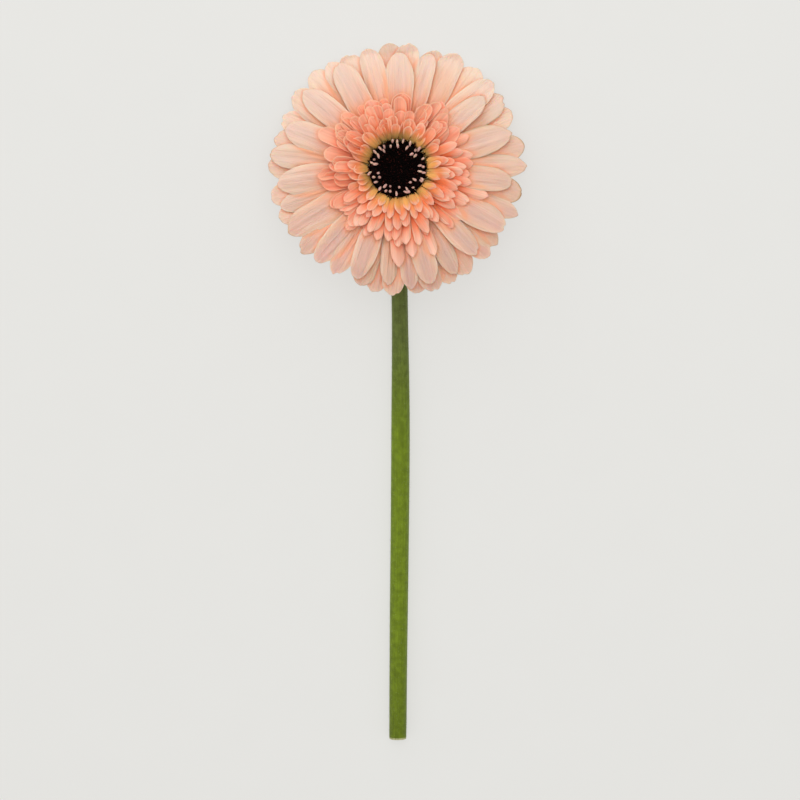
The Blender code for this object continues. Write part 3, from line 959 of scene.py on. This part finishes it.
def open_florets(rng):
    """(tubes, lobes) of the florets round the eye's edge."""
    tubes, lobes = [], []
    for ring, (count, radius, lean) in enumerate(TUBE_RINGS):
        for step in range(count):
            bearing = math.tau * (step + rng.uniform(-0.25, 0.25) + 0.5 * ring) / count
            out = (radius + rng.normal(0, 0.3)) * MM
            tilt = lean + rng.normal(0, 0.2)
            foot = around(bearing, out, EYE_EDGE_HEIGHT - 1.4 * MM)
            axis = leaning(bearing + rng.normal(0, 0.1), tilt)
            tube_length = rng.uniform(1.3, 1.9) * MM
            tubes.append(bud_grid(foot, axis, 0.5 * MM, tube_length, 7, 5))
            mouth = foot + axis * tube_length * 0.85
            for lobe in range(LOBES):
                lobe_bearing = bearing + math.tau * (lobe + rng.uniform()) / LOBES
                lobes.append(lobe_grid(mouth, axis, lobe_bearing, rng))
    return tubes, lobes


def anther_columns(rng):
    anthers = []
    for count, radius, lean in ANTHER_RINGS:
        for step in range(count):
            bearing = math.tau * (step + rng.normal(0, 0.2)) / count
            foot = around(bearing, (radius + rng.normal(0, 0.35)) * MM, EYE_EDGE_HEIGHT + 0.5 * MM)
            axis = leaning(bearing + rng.normal(0, 0.4), lean + rng.normal(0, 0.3))
            anthers.append(anther_grid(foot, axis, rng))
    return anthers


def lobe_grid(top, axis, bearing, rng):
    """A narrow pointed lobe that curls out of a disc floret's mouth."""
    out = leaning(bearing, math.pi / 2)
    side = unit(np.cross(axis, out))
    share = np.linspace(0, 1, 5)
    length = rng.uniform(0.9, 1.6) * MM
    spine = bent(top, axis, length * np.sin(share * 1.3), out, length * 0.7 * share**1.6)
    half = 0.22 * MM * (1 - share) ** 0.7 + 0.015 * MM
    points = np.stack([spine - side[None] * half[:, None], spine, spine + side[None] * half[:, None]])
    return moved(points, HEAD), {}


def anther_grid(foot, axis, rng):
    """A pollen-covered anther column: a blunt, slightly bent capsule."""
    share = np.linspace(0, 1, 9)
    length = rng.uniform(1.9, 2.7) * MM
    bend = rng.normal(0, 0.12) * MM
    side = np.cross(axis, [0.3, 0.5, 0.8])
    path = bent(foot, axis, length * share, side, bend * np.sin(np.pi * share))
    fat = rng.uniform(0.5, 0.68) * MM * (0.75 + 0.25 * share)
    return head_tube(path, fat * np.sin(np.pi * np.clip(share, 0.015, 0.985)) ** 0.4, 9)


def pappus(rng):
    """Thin yellow-green bristles at the eye's edge."""
    bristles = []
    for step in range(BRISTLES):
        bearing = math.tau * (step + rng.uniform(-0.4, 0.4)) / BRISTLES
        foot = around(bearing, rng.uniform(11.6, 12.6) * MM, EYE_EDGE_HEIGHT - 1.0 * MM)
        axis = leaning(bearing + rng.normal(0, 0.4), rng.normal(0.15, 0.35))
        share = np.linspace(0, 1, 5)
        length = rng.uniform(1.4, 2.6) * MM
        out = leaning(bearing + rng.normal(0, 0.8), math.pi / 2)
        path = bent(foot, axis, length * share, out, 0.4 * MM * share**2)
        bristles.append(head_tube(path, (0.13 - 0.06 * share) * MM, 5))
    return bristles


# ---- stem and bracts

STEM_RADIUS = 3.8 * MM
STEM_BOW = 1.2 * MM
STEM_SWELL = 0.2 * MM
NECK_RADIUS = 3.4 * MM
NECK_TAPER = 0.45 * MM  # how much thinner the stem gets on its way to the neck
CUT_SLANT = math.tan(math.radians(19))
CUT_HOLLOW = 0.55 * MM  # how far the pith has sunk in
CUT_ROUNDING = (  # (length, radius) in mm
    (0.0, 3.45), (0.08, 3.62), (0.25, 3.72), (0.6, 3.78), (1.2, 3.8),
)
NECK_TOP = -13.6 * MM
RECEPTACLE = (  # (height below the ray florets, radius) in mm, up to its closed top
    (-12.6, 3.7), (-10.4, 4.7), (-8.0, 6.6), (-5.0, 9.2),
    (-2.6, 10.3), (-0.9, 10.4), (-0.7, 9.0), (-0.6, 0.01),
)
STEM_SIDES = 40
STEM_RUNS = 150
NECK_TURNS = 24
OFF_FACE = 9.0  # skin's last value away from the cut face
HAIRS = 7000


def stem_line():
    """(points, radii) along the stem's middle, from the cut end to the top of the receptacle."""
    shift = HEAD @ Vector((0, 0, 0)) - Vector((0, 0, HEAD_HEIGHT))
    neck = HEAD @ Vector((0, 0, NECK_TOP)) - shift
    bend = (neck.z - STEM_RADIUS) / (1 - math.sin(FACE_TILT))
    flat_y = neck.y - bend * math.cos(FACE_TILT)
    length = STEM_REACH + flat_y
    points, radii = [], []
    for run, radius in CUT_ROUNDING:
        points.append((0, run * MM - STEM_REACH, STEM_RADIUS))
        radii.append(radius * MM)
    for run in range(1, STEM_RUNS):
        share = run / STEM_RUNS
        sideways = STEM_BOW * math.sin(math.pi * share**1.5)
        swell = STEM_SWELL * math.sin(math.pi * share)
        radius = STEM_RADIUS + swell - NECK_TAPER * float(smooth(0.58, 0.80, share))
        points.append((sideways, length * share - STEM_REACH, radius))
        radii.append(radius)
    for turn in range(NECK_TURNS + 1):
        share = turn / NECK_TURNS
        angle = (math.pi / 2 - FACE_TILT) * share
        rise = bend * (1 - math.cos(angle))
        points.append((0, flat_y + bend * math.sin(angle), STEM_RADIUS + rise))
        radii.append(STEM_RADIUS - NECK_TAPER + (NECK_RADIUS - STEM_RADIUS + NECK_TAPER) * share)
    heights, widths = zip(*RECEPTACLE)
    finer = np.linspace(heights[0], heights[-2], 24)
    for height in np.unique(np.concatenate([finer, heights])):
        points.append(tuple(HEAD @ Vector((0, 0, height * MM)) - shift))
        radii.append(np.interp(height, heights, widths) * MM)
    return np.array(points) + np.array(shift), np.array(radii)


def stem():
    path, radii = stem_line()
    tangent = unit(np.gradient(path, axis=0))
    side = unit(np.array([1.0, 0, 0])[None] - tangent * tangent[:, :1])
    other = np.cross(tangent, side)
    material = stem_material()
    rim = stem_skin(path, radii, side, other, material)
    cut_face(rim, radii[0], material)
    stem_hairs(path, radii, side, other)


def stem_skin(path, radii, side, other, material):
    """The ribbed skin, slightly flat where it lies, with a slanted end. Returns the cut's rim."""
    rounds = np.linspace(0, 1, STEM_SIDES, endpoint=False)
    angle = math.tau * rounds[:, None]
    steps = np.linalg.norm(np.diff(path, axis=0), axis=1)
    gone = np.concatenate([[0], np.cumsum(steps)])[None] / MM
    ridges = 0.035 * np.cos(7 * angle + 0.6 * np.sin(gone / 45))
    ridges = ridges + 0.02 * np.cos(11 * angle + gone / 60)
    ridges = ridges * smooth(0, 12, gone) + 0.012 * np.sin(gone / 9 + 2 * angle)
    thick = radii[None] + ridges * MM
    ring = np.cos(angle)[..., None] * side[None] + np.sin(angle)[..., None] * other[None]
    points = path[None] + ring * thick[..., None]
    points[..., 2] = np.maximum(points[..., 2], 0.02 * MM)
    points[..., 1] += (points[..., 2] - STEM_RADIUS) * CUT_SLANT * (1 - smooth(0, 9, gone))
    skin = np.stack(np.broadcast_arrays(rounds[:, None], gone, OFF_FACE), axis=-1)
    add_mesh("stem_skin", [(points, {"skin": skin})], material, ["stem"], wrap=True)
    return points[:, 0]


def cut_face(rim, radius, material):
    """The cut end inside its rim, sunk a little in the middle."""
    rings = np.linspace(0.005, 1, 9)
    middle = rim.mean(axis=0)
    face = middle[None, None] + (rim[:, None] - middle) * rings[None, :, None]
    hollow = CUT_HOLLOW * (1 - smooth(0.25, 0.8, rings))
    rough = np.random.default_rng(3).normal(0, 0.03, face.shape[:2]) * MM * (rings < 0.97)
    face[..., 1] += hollow[None] + rough
    core = np.broadcast_to((rings * radius / MM)[None], face.shape[:2])
    skin = np.stack([np.zeros_like(core), np.zeros_like(core), core], axis=-1)
    grids = [(face[:, ::-1], {"skin": skin[:, ::-1]})]
    add_mesh("stem_cut", grids, material, wrap=True)


def stem_hairs(path, radii, side, other):
    """Short soft hairs all over the stem and its neck, denser where the path's points are closer."""
    rng = np.random.default_rng(11)
    hairs = []
    last = len(path) - 26
    for _ in range(HAIRS):
        at = int(rng.uniform(6, last))
        share = rng.uniform()
        centre = path[at] * (1 - share) + path[at + 1] * share
        angle = rng.uniform(0, math.tau)
        out = math.cos(angle) * side[at] + math.sin(angle) * other[at]
        foot = centre + out * radii[at] * 0.99
        length = rng.uniform(0.25, 0.6) * MM
        lean = rng.normal(0, 0.5, 3)
        tip = foot + (out + lean * 0.6) * length
        if tip[2] < 0.05 * MM or foot[2] < 0.3 * MM:
            continue
        bend = (foot + tip) / 2 + rng.normal(0, 0.05, 3) * MM
        hairs.append(tube_grid([foot, bend, tip], np.array([0.020, 0.014, 0.005]) * MM, 3))
    add_mesh("stem_hairs", hairs, hair_material(), wrap=True)


BRACT_ROWS = (  # (height of the tips, length, bracts, width), in mm
    (-0.1, 10.2, 19, 4.6), (-4.0, 8.6, 16, 4.4), (-7.6, 6.8, 13, 4.0),
)
BRACT_LIFT = 0.42  # mm that each row stands off the row inside it
BRACT_THICKNESS = 0.35 * MM


def bract_blade(bearing, top, length, width, lift, rng):
    """A pointed scale that hugs the receptacle. Its sizes are in mm."""
    across, along = blade_lines(10, 18)
    heights, widths = zip(*RECEPTACLE[:6])
    taper = np.sin(np.pi * np.clip(0.12 + 0.86 * along, 0, 1)) ** 0.7
    half = width / 2 * taper
    height = top - length * (1 - along)
    off = smooth(0.0, 0.35, along)
    out = np.interp(height, heights, widths) + 0.15 + (0.4 + lift + 0.35 * (1 - across**2)) * off
    out = out + rng.uniform(0.0, 0.5) * smooth(0.7, 1.0, along)
    sweep = across * half / np.maximum(out, 1.0)
    points = np.stack([out * np.sin(bearing + sweep), out * np.cos(bearing + sweep), height], axis=-1) * MM
    rim = (1 - np.abs(across)) * half
    place = (out, 1.0, rng.uniform())
    return moved(points, HEAD), on_blade(across, blade=(across, along, rim), place=place)


def bracts():
    rng = np.random.default_rng(21)
    material = bract_material()
    for row, (top, length, count, width) in enumerate(BRACT_ROWS):
        grids = []
        for step in range(count):
            bearing = math.tau * (step + 0.5 * (row % 2)) / count + rng.normal(0, 0.03)
            tip = top + rng.normal(0, 0.3)
            grids.append(bract_blade(bearing, tip, length, width, BRACT_LIFT * row, rng))
        nodes = ["involucre"] if row == 0 else []
        add_mesh(f"bracts_row_{row + 1}", grids, material, nodes, BRACT_THICKNESS)


# ---- setting

FLOOR_HALF = 6.0
SURROUND_COLOUR = (1.0, 0.995, 0.985, 1.0)
SURROUND_BRIGHT_SIDE = (-0.35, 0.8, 0.35)
SURROUND_LEVELS = (0.25, 0.82)  # away from the bright side and towards it
LAMPS = (  # (name, place, what it points at, width, power)
    ("key", (-0.3, 1.5, 0.95), (0, 0.1, 0.03), 1.8, 8.6),
    ("fill", (0.05, 0.7, 1.4), (0, 0.05, 0.03), 0.7, 6.0),
)


def floor():
    mesh = bpy.data.meshes.new("floor")
    corners = [(x * FLOOR_HALF, y * FLOOR_HALF, 0) for x, y in ((-1, -1), (1, -1), (1, 1), (-1, 1))]
    mesh.from_pydata(corners, [], [(0, 1, 2, 3)])
    mesh.materials.append(floor_material())
    linked("floor", mesh)


def lamp(name, place, target, size, power):
    light = bpy.data.lights.new(name, "AREA")
    light.shape = "DISK"
    light.size = size
    light.energy = power
    holder = linked(name, light)
    holder.location = place
    holder.rotation_euler = (Vector(target) - Vector(place)).to_track_quat("-Z", "Y").to_euler()


def surround():
    """A pale surround, brighter beyond the flower and to the left."""
    world = bpy.data.worlds.new("studio")
    world.use_nodes = True
    tree = world.node_tree
    background = tree.nodes["Background"]
    coords = tree.nodes.new("ShaderNodeTexCoord")
    toward = tree.nodes.new("ShaderNodeVectorMath")
    toward.operation = "DOT_PRODUCT"
    toward.inputs[1].default_value = Vector(SURROUND_BRIGHT_SIDE).normalized()
    level = tree.nodes.new("ShaderNodeMapRange")
    for socket, value in zip(level.inputs[1:5], (-1.0, 1.0, *SURROUND_LEVELS)):
        socket.default_value = value
    tree.links.new(coords.outputs["Generated"], toward.inputs[0])
    tree.links.new(toward.outputs["Value"], level.inputs[0])
    tree.links.new(level.outputs[0], background.inputs["Strength"])
    background.inputs["Color"].default_value = SURROUND_COLOUR
    bpy.context.scene.world = world


def camera():
    data = bpy.data.cameras.new("camera")
    data.lens = CAMERA_LENS
    data.clip_start = 0.05
    data.clip_end = 20.0
    view = linked("camera", data)
    turn = Matrix.Rotation(-CAMERA_TILT, 4, "X")
    right, up, back = (turn.to_3x3() @ Vector(axis) for axis in ((1, 0, 0), (0, 1, 0), (0, 0, 1)))
    head = HEAD @ Vector((0, 0, EYE_EDGE_HEIGHT))
    across, above = HEAD_IN_VIEW * VIEW_WIDTH
    place = head - right * across - up * above + back * CAMERA_DISTANCE
    view.matrix_world = Matrix.Translation(place) @ turn
    bpy.context.scene.camera = view


frill_outlines = trans_florets()
ray_florets(frill_outlines)
disc()
stem()
bracts()
floor()
surround()
for settings in LAMPS:
    lamp(*settings)
camera()
bpy.context.scene.view_settings.view_transform = "Standard"
